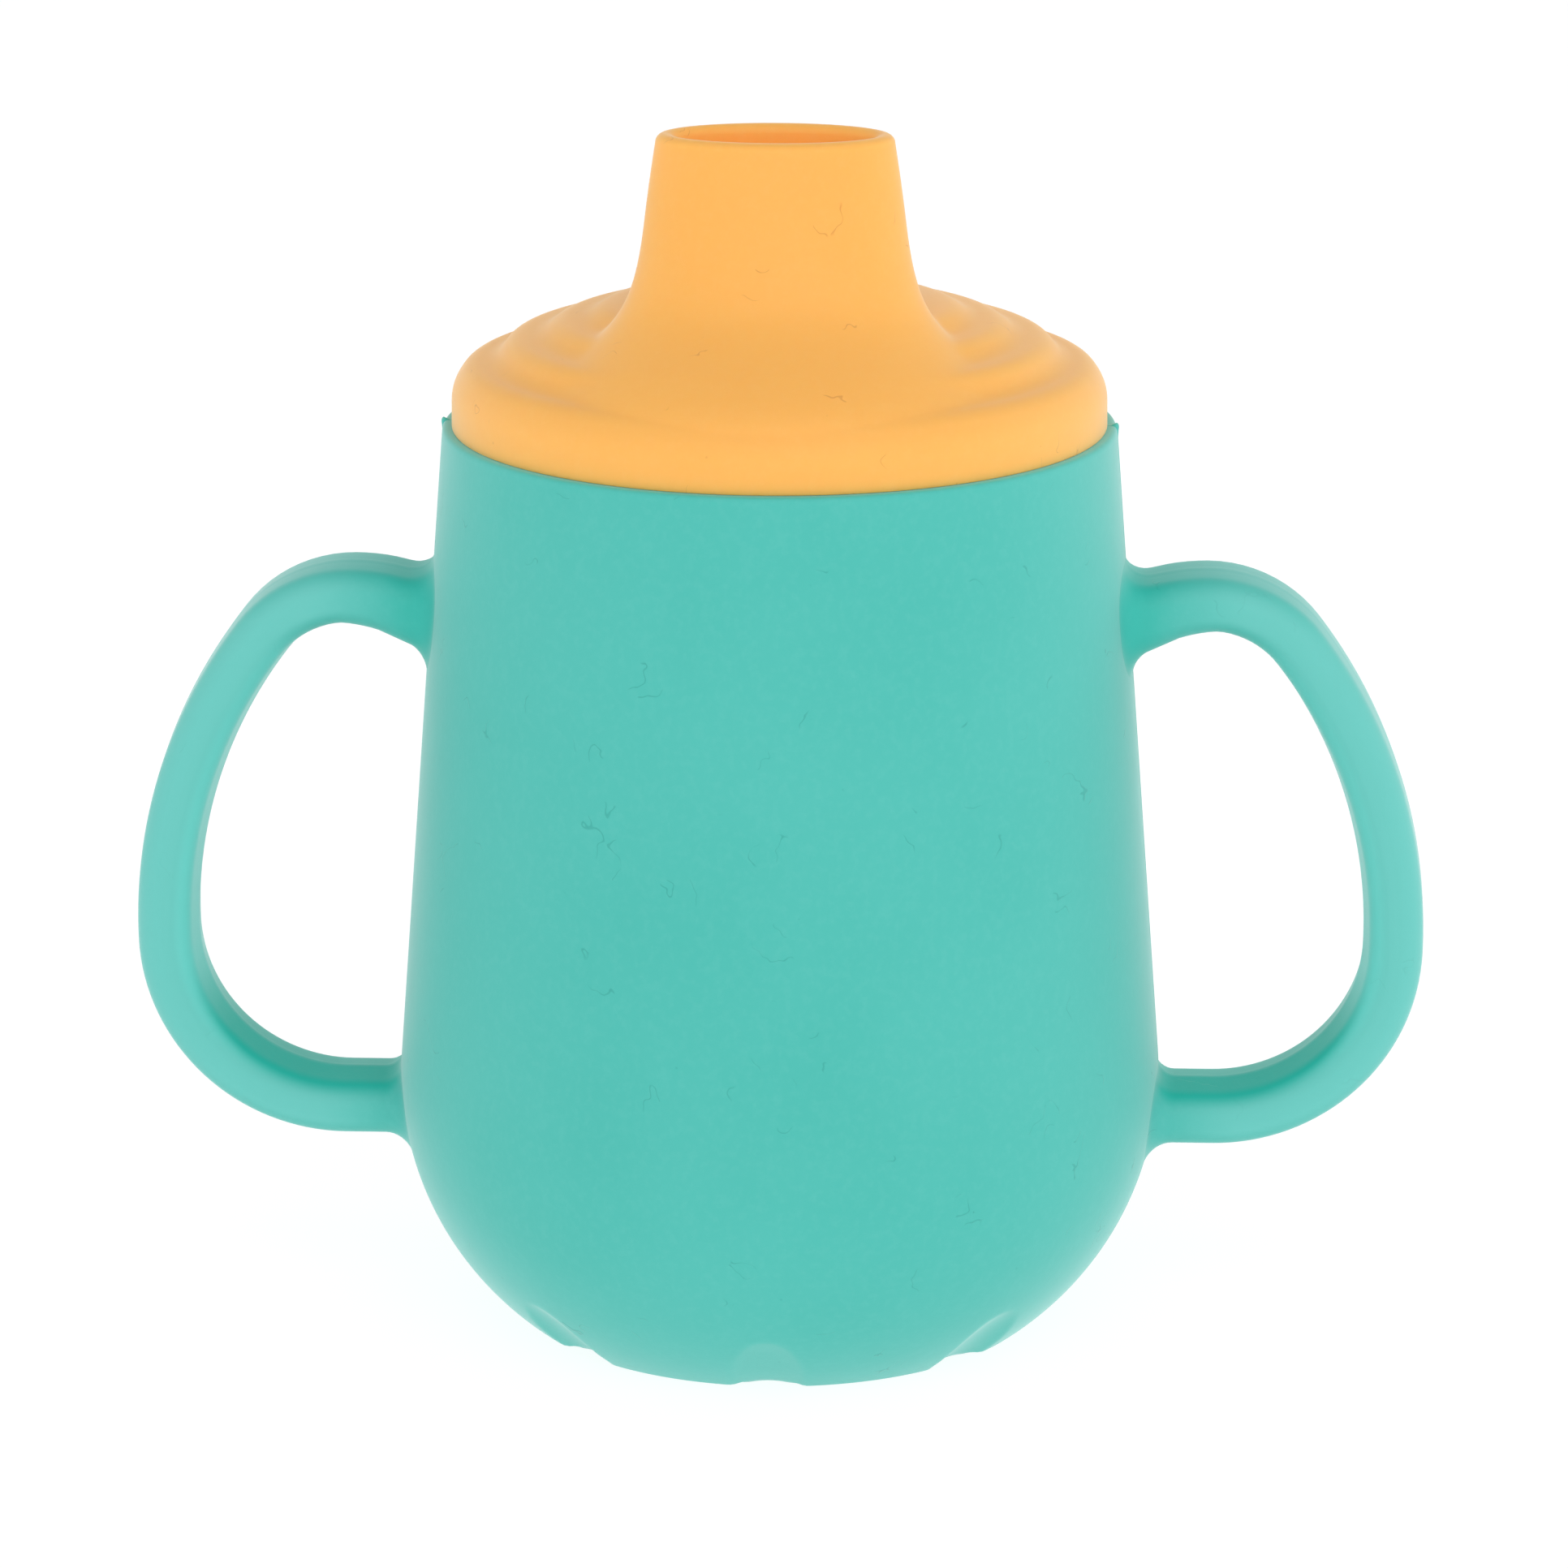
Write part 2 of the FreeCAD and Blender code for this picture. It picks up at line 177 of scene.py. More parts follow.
heights = np.concatenate([np.linspace(0.35, 8.6, 34), np.linspace(9, 88.3, 100)]) * MM
outside = [(r, z, 0) for r, z in zip(wall_radius(heights), heights)]
inner_heights = np.linspace(RIM_HEIGHT - 1.2 * MM, 9 * MM, 60)
inside = [(r, z, 0) for r, z in zip(wall_radius(inner_heights, WALL), inner_heights)]
foot_edge = float(wall_radius(np.array(0.0)))
wall_outline = soften(
    [(AXIS_GAP, FOOT_RECESS, 0), (FOOT_INNER - 0.6 * MM, FOOT_RECESS, SHARP_CORNER),
     (FOOT_INNER, 0, 0.4 * MM), (foot_edge, 0, SHARP_CORNER)] + outside
    + [(RIM_RADIUS, RIM_HEIGHT, RIM_ROUND), (RIM_RADIUS - WALL, RIM_HEIGHT, RIM_ROUND)] + inside
    + [(FLOOR_RADIUS, FLOOR, INNER_CORNER), (AXIS_GAP, FLOOR, 0)])
wall_outline = pace_out(wall_outline, WALL_PACE)
turns = np.linspace(0, 2 * pi, AROUND_WALL, endpoint=False)
line_steps = np.radians([-1.0, -0.6, -0.4, -0.25, -0.12, 0.12, 0.25, 0.4, 0.6, 1.0])
turns = np.unique(np.concatenate([turns, line_steps, line_steps + pi])) % (2 * pi)
turns.sort()
rings = []
rim_passed = False
for radius, height in wall_outline:
    rim_passed = rim_passed or height >= RIM_HEIGHT - 1e-6
    ring = np.stack([radius * np.cos(turns), radius * np.sin(turns), np.full(turns.size, height)], 1)
    if not rim_passed and radius > FOOT_INNER + 1.5 * MM:
        if height < GROOVE_REACH:
            ring = np.stack(scooped(radius, height, turns), 1)
        else:
            line = np.exp(-(np.sin(turns) * radius / PARTING_WIDTH) ** 2) * PARTING_LINE
            ring[:, :2] *= (1 + line / radius)[:, None]
    if height > RIM_HEIGHT - RIM_FLASH_DEPTH and radius > RIM_RADIUS - 0.4 * MM:
        flash = np.exp(-(np.sin(turns) * radius / RIM_FLASH_WIDTH) ** 2)
        flash *= (height - RIM_HEIGHT + RIM_FLASH_DEPTH) / RIM_FLASH_DEPTH
        ring[:, :2] *= (1 + flash * RIM_FLASH / radius)[:, None]
        ring[:, 2] += flash * RIM_FLASH
    rings.append(ring)
cup_wall = skin_over("cup_wall", rings)


def node_group(name, inputs, outputs):
    """Empty shader group with named float sockets; returns it with its two end nodes."""
    group = bpy.data.node_groups.new(name, "ShaderNodeTree")
    for label, value in inputs:
        socket = group.interface.new_socket(label, in_out="INPUT", socket_type="NodeSocketFloat")
        socket.default_value = value
    for label in outputs:
        group.interface.new_socket(label, in_out="OUTPUT", socket_type="NodeSocketFloat")
    return group, group.nodes.new("NodeGroupInput"), group.nodes.new("NodeGroupOutput")


def wire(tree, *pairs):
    """Link each output socket to its input socket."""
    for source, target in pairs:
        tree.links.new(source, target)


def maths(tree, operation, first, second, clamp=False):
    """Maths node; each side is a number or a socket."""
    node = tree.nodes.new("ShaderNodeMath")
    node.operation = operation
    node.use_clamp = clamp
    for slot, value in enumerate((first, second)):
        if isinstance(value, (int, float)):
            node.inputs[slot].default_value = value
        else:
            tree.links.new(value, node.inputs[slot])
    return node.outputs[0]


def noise(tree, where, size, detail=2.0, roughness=0.5, stretch=(1, 1, 1)):
    """Noise whose features are about the given size, in metres."""
    place = tree.nodes.new("ShaderNodeMapping")
    place.inputs["Scale"].default_value = stretch
    node = tree.nodes.new("ShaderNodeTexNoise")
    node.inputs["Scale"].default_value = 1 / size
    node.inputs["Detail"].default_value = detail
    node.inputs["Roughness"].default_value = roughness
    wire(tree, (where, place.inputs["Vector"]), (place.outputs["Vector"], node.inputs["Vector"]))
    return node.outputs["Fac"]


def band(tree, value, low, high):
    """0 below low, 1 above high, smooth between."""
    node = tree.nodes.new("ShaderNodeMapRange")
    node.interpolation_type = "SMOOTHSTEP"
    node.inputs["From Min"].default_value = low
    node.inputs["From Max"].default_value = high
    wire(tree, (value, node.inputs["Value"]))
    return node.outputs["Result"]


# Effects shared by all the silicone: slow pigment clouding, the fine blasted texture that the
# mould leaves, and the lint and scuffs that the tacky surface picks up.
clouding, ends_in, ends_out = node_group("pigment_clouding", [("Size", 1.0)], ["Cloud", "Speckle"])
place = clouding.nodes.new("ShaderNodeTexCoord").outputs["Object"]
broad = noise(clouding, place, 24 * MM, 3.0, 0.55)
fine = noise(clouding, place, 0.9 * MM, 3.0, 0.6)
wire(clouding, (maths(clouding, "MULTIPLY", broad, ends_in.outputs["Size"]), ends_out.inputs["Cloud"]),
     (fine, ends_out.inputs["Speckle"]))

blasting, ends_in, ends_out = node_group("blasted_mould_texture", [("Grain", 1.0)], ["Height"])
place = blasting.nodes.new("ShaderNodeTexCoord").outputs["Object"]
grain = noise(blasting, place, 0.22 * MM, 2.0, 0.5)
peel = noise(blasting, place, 1.6 * MM, 2.0, 0.5)
swell = noise(blasting, place, 9 * MM, 2.0, 0.5)
height = maths(blasting, "ADD", maths(blasting, "MULTIPLY", grain, 0.35),
               maths(blasting, "MULTIPLY", peel, 0.5))
height = maths(blasting, "ADD", height, maths(blasting, "MULTIPLY", swell, 1.6))
wire(blasting, (maths(blasting, "MULTIPLY", height, ends_in.outputs["Grain"]),
                ends_out.inputs["Height"]))

lint, ends_in, ends_out = node_group("lint_and_scuffs", [("Amount", 1.0)], ["Fibres", "Scuffs", "Specks"])
place = lint.nodes.new("ShaderNodeTexCoord").outputs["Object"]
bent = lint.nodes.new("ShaderNodeVectorMath")
bent.operation = "MULTIPLY_ADD"
warp = lint.nodes.new("ShaderNodeTexNoise")
warp.inputs["Scale"].default_value = 1 / (3.5 * MM)
bent.inputs[1].default_value = (0.004, 0.004, 0.004)
wire(lint, (place, warp.inputs["Vector"]), (warp.outputs["Color"], bent.inputs[0]),
     (place, bent.inputs[2]))
patches = band(lint, noise(lint, place, 4.2 * MM, 0.0), 0.70, 0.735)
thread = noise(lint, bent.outputs[0], 3.4 * MM, 0.0, 0.5)
thread = maths(lint, "ABSOLUTE", maths(lint, "SUBTRACT", thread, 0.5), 0)
thread = maths(lint, "SUBTRACT", 1.0, band(lint, thread, 0.004, 0.009))
fibres = maths(lint, "MULTIPLY", maths(lint, "MULTIPLY", thread, patches), ends_in.outputs["Amount"], True)
rub = band(lint, noise(lint, bent.outputs[0], 3 * MM, 4.0, 0.7, (1, 1, 0.35)), 0.66, 0.78)
cells = lint.nodes.new("ShaderNodeTexVoronoi")
cells.inputs["Scale"].default_value = 1 / (5.5 * MM)
wire(lint, (place, cells.inputs["Vector"]))
dots = maths(lint, "SUBTRACT", 1.0, band(lint, cells.outputs["Distance"], 0.018, 0.032))
wire(lint, (fibres, ends_out.inputs["Fibres"]), (rub, ends_out.inputs["Scuffs"]),
     (dots, ends_out.inputs["Specks"]))


def silicone(name, colour, deep, pale, lint_colour, bloom, see_through=0.0):
    """Matte moulded silicone: pigment, clouding, lint, blasted texture, pale bloom and sheen."""
    finish = bpy.data.materials.new(name)
    finish.use_nodes = True
    tree = finish.node_tree
    shader = tree.nodes["Principled BSDF"]
    parts = {}
    for key, group, value in (("cloud", clouding, 1.0), ("skin", blasting, 1.0), ("lint", lint, 1.0)):
        parts[key] = tree.nodes.new("ShaderNodeGroup")
        parts[key].node_tree = group
        parts[key].inputs[0].default_value = value

    def tint(under, over, share):
        mix = tree.nodes.new("ShaderNodeMix")
        mix.data_type = "RGBA"
        if isinstance(share, float):
            mix.inputs[0].default_value = share
        else:
            wire(tree, (share, mix.inputs[0]))
        for slot, value in ((6, under), (7, over)):
            if isinstance(value, tuple):
                mix.inputs[slot].default_value = (*value, 1)
            else:
                wire(tree, (value, mix.inputs[slot]))
        return mix.outputs[2]

    clouded = band(tree, parts["cloud"].outputs["Cloud"], 0.35, 0.75)
    shade = tint(colour, deep, maths(tree, "MULTIPLY", clouded, 0.35))
    speckled = band(tree, parts["cloud"].outputs["Speckle"], 0.4, 0.75)
    shade = tint(shade, pale, maths(tree, "MULTIPLY", speckled, 0.16))
    shade = tint(shade, pale, maths(tree, "MULTIPLY", parts["lint"].outputs["Scuffs"], 0.22))
    shade = tint(shade, lint_colour, maths(tree, "MULTIPLY", parts["lint"].outputs["Fibres"], 0.4))
    shade = tint(shade, lint_colour, maths(tree, "MULTIPLY", parts["lint"].outputs["Specks"], 0.25))
    rough = maths(tree, "ADD", 0.56, maths(tree, "MULTIPLY", parts["cloud"].outputs["Speckle"], 0.12))
    rough = maths(tree, "ADD", rough, maths(tree, "MULTIPLY", parts["lint"].outputs["Scuffs"], 0.08))
    bump = tree.nodes.new("ShaderNodeBump")
    bump.inputs["Strength"].default_value = 0.35
    bump.inputs["Distance"].default_value = 0.06 * MM
    relief = maths(tree, "ADD", parts["skin"].outputs["Height"],
                   maths(tree, "MULTIPLY", parts["lint"].outputs["Fibres"], 0.8))
    wire(tree, (shade, shader.inputs["Base Color"]), (rough, shader.inputs["Roughness"]),
         (relief, bump.inputs["Height"]), (bump.outputs["Normal"], shader.inputs["Normal"]))
    shader.inputs["IOR"].default_value = 1.41
    shader.inputs["Sheen Weight"].default_value = 0.55
    shader.inputs["Sheen Tint"].default_value = (*bloom, 1)
    shader.inputs["Sheen Roughness"].default_value = 0.35
    shader.inputs["Subsurface Weight"].default_value = see_through
    shader.inputs["Subsurface Radius"].default_value = (1.0, 1.0, 1.0)
    shader.inputs["Subsurface Scale"].default_value = 1.6 * MM
    return finish


TEAL_PIGMENTS = ((0.072, 0.50, 0.438), (0.042, 0.455, 0.39), (0.14, 0.57, 0.515), (0.02, 0.30, 0.26),
                 (0.86, 0.97, 0.95))
teal_silicone = silicone("teal_silicone", *TEAL_PIGMENTS, 0.2)
cup_wall.data.materials.append(teal_silicone)
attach(cup_wall, "cup")
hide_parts("cup_body")

# ---- Handles ----
# Two flat-sided loops of the same teal silicone, moulded in one shot with the wall. Each grows
# out of the wall with a soft fillet, bows out for a small hand and comes back above the foot.
HANDLE_TOP = 75.3 * MM
HANDLE_BOTTOM = 18.05 * MM
HANDLE_REACH_HEIGHT = 39 * MM
UPPER_BEND = 13.7 * MM
LOWER_BEND = 20.2 * MM
GRIP_BOW = 50.7 * MM
UPPER_ARM_DROP = 1.8 * MM
STRAP_THICKNESS = 5.3 * MM
STRAP_WIDTH = 11.5 * MM
STRAP_EDGE = 2.15 * MM
STRAP_DRAFT = 0.32 * MM
STRAP_CROWN = 0.14 * MM
ROOT_FILLET = 2.2 * MM
UPPER_ROOT_FILLET = 2.9 * MM
UPPER_ROOT_INSIDE = 1.6 * MM
UPPER_ROOT_SWELL = 0.95 * MM
UPPER_ROOT_RUN = 9 * MM
LOWER_ROOT_INSIDE = 1.9 * MM
ROOT_SUNK = 2.0 * MM
HANDLE_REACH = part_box("handle_right")[1][0]
STRAP_PACE = 0.8 * MM
SUNK_A_HAIR = 0.02 * MM
ROOT_SKIRTS = ((0.6 * MM, 0.12 * MM), (-1.5 * MM, 1.2 * MM))


def turned(centre, radius, start, end):
    """Points along an arc in the XZ plane."""
    count = max(3, int(abs(end - start) * radius / STRAP_PACE))
    angles = np.linspace(start, end, count)
    return [np.array([centre[0] + radius * cos(a), centre[1] + radius * sin(a)]) for a in angles]


def strap_line():
    """Centre line of the right handle as (x, z) points, from the upper root to the lower one."""
    half = STRAP_THICKNESS / 2
    bow = GRIP_BOW - half
    hub = np.array([HANDLE_REACH - GRIP_BOW, HANDLE_REACH_HEIGHT])
    bends = []
    arms = ((HANDLE_TOP - half, UPPER_BEND, 1), (HANDLE_BOTTOM + half, LOWER_BEND, -1))
    for arm, outer, way in arms:
        radius = outer - half
        rise = arm - way * radius - hub[1]
        centre = hub + np.array([sqrt((bow - radius) ** 2 - rise ** 2), rise])
        bends.append((centre, radius, asin(rise / (bow - radius))))
    (top, top_r, top_meet), (low, low_r, low_meet) = bends
    wall_x = float(wall_radius(np.array(top[1] + top_r)))
    span = top[0] - wall_x
    sag = (span ** 2 + UPPER_ARM_DROP ** 2) / (2 * UPPER_ARM_DROP)
    arch = turned((top[0], top[1] + top_r - sag), sag, pi / 2 + asin((span + ROOT_SUNK) / sag), pi / 2)
    points = arch[:-1] + turned(top, top_r, pi / 2, top_meet)[:-1]
    points += turned(hub, bow, top_meet, low_meet)[:-1] + turned(low, low_r, low_meet, -pi / 2)[:-1]
    level = low[1] - low_r
    end_x = float(wall_radius(np.array(level))) - ROOT_SUNK
    count = int((low[0] - end_x) / STRAP_PACE)
    points += [np.array([x, level]) for x in np.linspace(low[0], end_x, count)]
    return np.array(points)


def strap_section(count=56):
    """Rounded section of the strap as (out, across) points: full edges and crowned faces."""
    half_t, half_w = STRAP_THICKNESS / 2, STRAP_WIDTH / 2
    points = []
    for out, across, start in ((1, 1, 0), (1, -1, -pi / 2), (-1, -1, -pi), (-1, 1, pi / 2)):
        centre = (out * (half_t - STRAP_EDGE), across * (half_w - STRAP_EDGE))
        angles = np.linspace(start, start + pi / 2, 9)
        quarter = [(centre[0] + STRAP_EDGE * cos(a), centre[1] + STRAP_EDGE * sin(a)) for a in angles]
        points.append(quarter)
    loop = points[0] + points[3] + points[2] + points[1]
    loop = np.array(loop + loop[:1])
    length = np.concatenate([[0], np.cumsum(np.hypot(*np.diff(loop, axis=0).T))])
    steps = np.linspace(0, length[-1], count, endpoint=False)
    out = np.interp(steps, length, loop[:, 0])
    across = np.interp(steps, length, loop[:, 1])
    inner = STRAP_DRAFT * (1 - 2 * np.sqrt(across ** 2 + (0.3 * MM) ** 2) / half_w)
    outer = STRAP_CROWN * (1 - 2 * (across / half_w) ** 2)
    line = np.exp(-(across / (0.25 * MM)) ** 2) * PARTING_LINE
    swell = np.where(out < 0, inner, outer) + line
    return np.stack([out * (1 + swell / half_t), across], 1)


def handle(side):
    """Rings of one loop: the fillet at its upper root, the strap, the fillet at its lower root."""
    line = strap_line()
    along = np.gradient(line, axis=0)
    along /= np.hypot(along[:, 0], along[:, 1])[:, None]
    outward = np.stack([-along[:, 1], along[:, 0]], 1)
    section = strap_section()
    normal = np.roll(section, -1, axis=0) - np.roll(section, 1, axis=0)
    normal = np.stack([normal[:, 1], -normal[:, 0]], 1)
    normal /= np.hypot(normal[:, 0], normal[:, 1])[:, None]
    if (normal * section).sum() < 0:
        normal = -normal
    rings = []
    for (x, z), (out_x, out_z) in zip(line, outward):
        off_wall = x - float(wall_radius(np.array(z)))
        near = np.clip(1 - off_wall / UPPER_ROOT_RUN, 0, 1.3) * (z > HANDLE_REACH_HEIGHT)
        swollen = section[:, 0] * (1 + near * UPPER_ROOT_SWELL * 2 / STRAP_THICKNESS)
        out = np.where(section[:, 0] < 0, swollen, section[:, 0])
        rings.append(np.stack([x + out * out_x, section[:, 1], z + out * out_z], 1))
    rings = np.array(rings)

    def skin_x(y, z):
        return np.sqrt(np.maximum(wall_radius(z) ** 2 - y ** 2, 0))

    def rooted(arm, way, inside, outside):
        """Rings of the fillet at one end: out from the strap and down on to the wall."""
        fillet = inside + (outside - inside) * (0.5 + 0.5 * normal[:, 0])
        gap = arm[:, :, 0] - skin_x(arm[:, :, 1], arm[:, :, 2])

        def strap_z(lift):
            return np.array([np.interp(lift[k], gap[:, k], arm[:, k, 2]) for k in range(lift.size)])

        made = []
        for a in np.linspace(0, pi / 2, 10):
            grow = fillet * (1 - cos(a))
            lift = fillet * (1 - sin(a)) - SUNK_A_HAIR * sin(a)
            y = arm[0, :, 1] + normal[:, 1] * grow
            z = strap_z(lift) + way * normal[:, 0] * grow
            made.append(np.stack([skin_x(y, z) + lift, y, z], 1))
        for spread, sunk in ROOT_SKIRTS:
            y = arm[0, :, 1] + normal[:, 1] * (fillet + spread)
            z = strap_z(np.full(fillet.shape, -SUNK_A_HAIR)) + way * normal[:, 0] * (fillet + spread)
            made.append(np.stack([skin_x(y, z) - sunk, y, z], 1))
        return made

    reach = UPPER_ROOT_FILLET + 0.4 * MM
    gaps = [(ring[:, 0] - skin_x(ring[:, 1], ring[:, 2])).min() for ring in rings]
    clear = [k for k, gap in enumerate(gaps) if gap > reach]
    body = rings[clear[0]:clear[-1] + 1]
    upper = rooted(rings[:clear[0] + 3], 1, UPPER_ROOT_INSIDE, UPPER_ROOT_FILLET)[::-1]
    lower = rooted(rings[:clear[-1] - 3:-1], -1, LOWER_ROOT_INSIDE, ROOT_FILLET)
    loop = np.concatenate([upper, body, lower])
    loop[:, :, 0] *= side
    return loop


# the strap is the same silicone with painted light and shade over it: paler painted light out on the strap
# and on its faces turned to the cup, deeper painted shade in the middle of the skin that lies level and at
# the upper root
strap_silicone_painted_light_and_shade = silicone("teal_silicone_strap_painted_light_and_shade", *TEAL_PIGMENTS, 0.2)
tree = strap_silicone_painted_light_and_shade.node_tree
shader = tree.nodes["Principled BSDF"]
lie, stand = tree.nodes.new("ShaderNodeSeparateXYZ"), tree.nodes.new("ShaderNodeSeparateXYZ")
wire(tree, (tree.nodes.new("ShaderNodeNewGeometry").outputs["Normal"], lie.inputs[0]),
     (tree.nodes.new("ShaderNodeTexCoord").outputs["Object"], stand.inputs[0]))
out_from_axis = maths(tree, "ABSOLUTE", stand.outputs["X"], 0)
# painted light: paler on the strap out from the wall, all but its underside, standing in for light that
# comes through
painted_light_through = maths(tree, "MULTIPLY", band(tree, out_from_axis, 36 * MM, 46 * MM),
             band(tree, lie.outputs["Z"], -0.9, -0.2))
# painted light: brighter on the faces turned to the cup, where they lie in shade
painted_light_facing_cup = maths(tree, "MULTIPLY", lie.outputs["X"], maths(tree, "SIGN", stand.outputs["X"], 0))
painted_light_facing_cup = maths(tree, "SUBTRACT", 1.0, band(tree, painted_light_facing_cup, -0.9, -0.2))
# painted shade: deeper at the upper root, where the arm meets the wall
root = maths(tree, "SUBTRACT", 1.0, band(tree, out_from_axis, 34.5 * MM, 39 * MM))
root = maths(tree, "MULTIPLY", root, band(tree, stand.outputs["Z"], 63 * MM, 67 * MM))
# painted shade: deeper on the skin that lies level and faces up, weaker on the upper arm and none at the
# strap's edges
level = band(tree, lie.outputs["Z"], 0.1, 0.7)
level = maths(tree, "MULTIPLY", level, maths(tree, "SUBTRACT", 1.0, maths(
    tree, "MULTIPLY", band(tree, stand.outputs["Z"], 45 * MM, 60 * MM), 0.65)))
edges = band(tree, maths(tree, "ABSOLUTE", stand.outputs["Y"], 0), 4.2 * MM, 5.7 * MM)
painted_level_shade = maths(tree, "MULTIPLY", level, maths(tree, "SUBTRACT", 1.0, edges))
skin = shader.inputs["Base Color"].links[0].from_socket
for colour, share, weight in (((0.16, 0.58, 0.53), painted_light_through, 0.75),
                              ((0.25, 0.86, 0.80), painted_light_facing_cup, 0.5),
                              ((0.0, 0.47, 0.385), root, 0.5),
                              ((0.0, 0.47, 0.385), painted_level_shade, 0.92)):
    layer = tree.nodes.new("ShaderNodeMix")
    layer.data_type = "RGBA"
    layer.inputs[7].default_value = (*colour, 1)
    wire(tree, (maths(tree, "MULTIPLY", share, weight), layer.inputs[0]), (skin, layer.inputs[6]))
    skin = layer.outputs[2]
wire(tree, (skin, shader.inputs["Base Color"]))
for side, label in ((-1, "handle_left"), (1, "handle_right")):
    loop = skin_over(label + "_loop", handle(side))
    loop.data.materials.append(strap_silicone_painted_light_and_shade)
    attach(loop, "cup")
    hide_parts(label)

# ---- Spout lid ----
# One moulding of matte apricot silicone. A push-in ring with sealing ribs holds it in the mouth;
# its terraced dome rises to an oval drinking spout that leans on the front of the rim.
lid_low, lid_high = (Vector(corner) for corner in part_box("spout_lid"))
LIP_HEIGHT = lid_high.z
SKIRT_RADIUS = lid_high.x
SKIRT_HEIGHT = 3.9 * MM
TERRACES = [(30.0, 95.7), (25.8, 98.1), (21.3, 99.75), (16.9, 101.15)]
TERRACE_FOOT = 1.5 * MM
TERRACE_RISE = 0.25 * MM
TERRACE_ROUND = 1.1 * MM
CROWN_ROUND = 1.5 * MM
CROWN_HEIGHT = 102.2 * MM
SPOUT_Y = -9.5 * MM
SPOUT_OVALS = [(-9.5, 11.15, 6.5), (-9.6, 12.15, 7.4), (-9.8, 13.2, 8.7), (-10.4, 14.6, 10.6),
               (-11.9, 17.6, 14.4), (-12.8, 21.6, 17.6), (-12.9, 23.0, 18.2)]
SPOUT_HEIGHTS = [119.3, 112.5, 106.0, 102.5, 99.0, 95.2, 93.0]
SPOUT_WALL = 1.8 * MM
SPOUT_RECESS = 3.6 * MM
SPOUT_FLOOR = 1.6 * MM
CHANNEL_WALL = 2.0 * MM
CHANNEL_FLOOR = 99 * MM
LIP_ROUND = 0.85 * MM
BLEND = 0.5 * MM
PLUG_RADIUS = 29.34 * MM
PLUG_WALL = 2.2 * MM
PLUG_BOTTOM = lid_low.z
COLLAR_Y = -9 * MM
COLLAR_BORE = 7 * MM
COLLAR_WALL = 2 * MM
COLLAR_BOTTOM = 86.5 * MM
SHOULDER_RADIUS = 30.7 * MM
RIB_DEPTHS = [2.0 * MM, 4.8 * MM]
RIB_HALF = 0.7 * MM
RIB_GAP = 0.06 * MM
CEILING_EDGE = 92.8 * MM
CEILING_RADII = [14 * MM, 18.7 * MM, 23.2 * MM, 25.2 * MM]
CEILING_HEIGHTS = [98.2 * MM, 97.0 * MM, 95.0 * MM, 93.6 * MM]
HOLE_RADIUS = 1.1 * MM
HOLE_PITCH = 5 * MM
HOLE_ROUND = 0.25 * MM
FLOOR_OVERLAP = 0.35 * MM
VENT_RADIUS = 0.6 * MM
VENT_FLARE = 1.25
VENT_Y = 12 * MM
AROUND = 240
COLUMN_ROWS = 130
LATHE_PACE = 1.2 * MM
COLLAR_ROUND = 0.5 * MM
COLLAR_BEVEL = 0.15 * MM

dome_corners = [(SKIRT_RADIUS, RIM_HEIGHT, 0),
                (SKIRT_RADIUS - 0.05 * MM, RIM_HEIGHT + SKIRT_HEIGHT, 1.6 * MM)]
for index, (radius, height) in enumerate(TERRACES):
    dome_corners.append((radius * MM, height * MM, TERRACE_ROUND))
    if index + 1 < len(TERRACES):
        foot = TERRACES[index + 1][0] * MM + TERRACE_FOOT
        dome_corners.append((foot, height * MM + TERRACE_RISE, TERRACE_ROUND))
dome_corners += [(13.5 * MM, 101.5 * MM, CROWN_ROUND), (11 * MM, CROWN_HEIGHT - 0.1 * MM, CROWN_ROUND),
                 (0, CROWN_HEIGHT, 0)]
dome = soften(dome_corners, 10)[::-1]


def dome_height(radius):
    return np.interp(radius, dome[:, 0], dome[:, 1])


def oval_reach(turn, oval):
    """How far an oval lies from the spout's axis in one direction."""
    centre, half_x, half_y = (value * MM for value in oval)
    shift = centre - SPOUT_Y
    a = (cos(turn) / half_x) ** 2 + (sin(turn) / half_y) ** 2
    b = -2 * sin(turn) * shift / half_y ** 2
    c = (shift / half_y) ** 2 - 1
    return (-b + sqrt(b * b - 4 * a * c)) / (2 * a)


def smooth_curve(knots, values, at):
    """Natural cubic through a few knots, read at other places."""
    knots, values = np.asarray(knots, float), np.asarray(values, float)
    count = len(knots)
    step = np.diff(knots)
    rows = np.eye(count)
    right = np.zeros(count)
    for k in range(1, count - 1):
        rows[k, k - 1:k + 2] = step[k - 1], 2 * (step[k - 1] + step[k]), step[k]
        right[k] = 6 * ((values[k + 1] - values[k]) / step[k] - (values[k] - values[k - 1]) / step[k - 1])
    curve = np.linalg.solve(rows, right)
    k = np.clip(np.searchsorted(knots, at) - 1, 0, count - 2)
    left, rest = at - knots[k], knots[k + 1] - at
    return ((curve[k] * rest ** 3 + curve[k + 1] * left ** 3) / (6 * step[k])
            + (values[k] / step[k] - curve[k] * step[k] / 6) * rest
            + (values[k + 1] / step[k] - curve[k + 1] * step[k] / 6) * left)


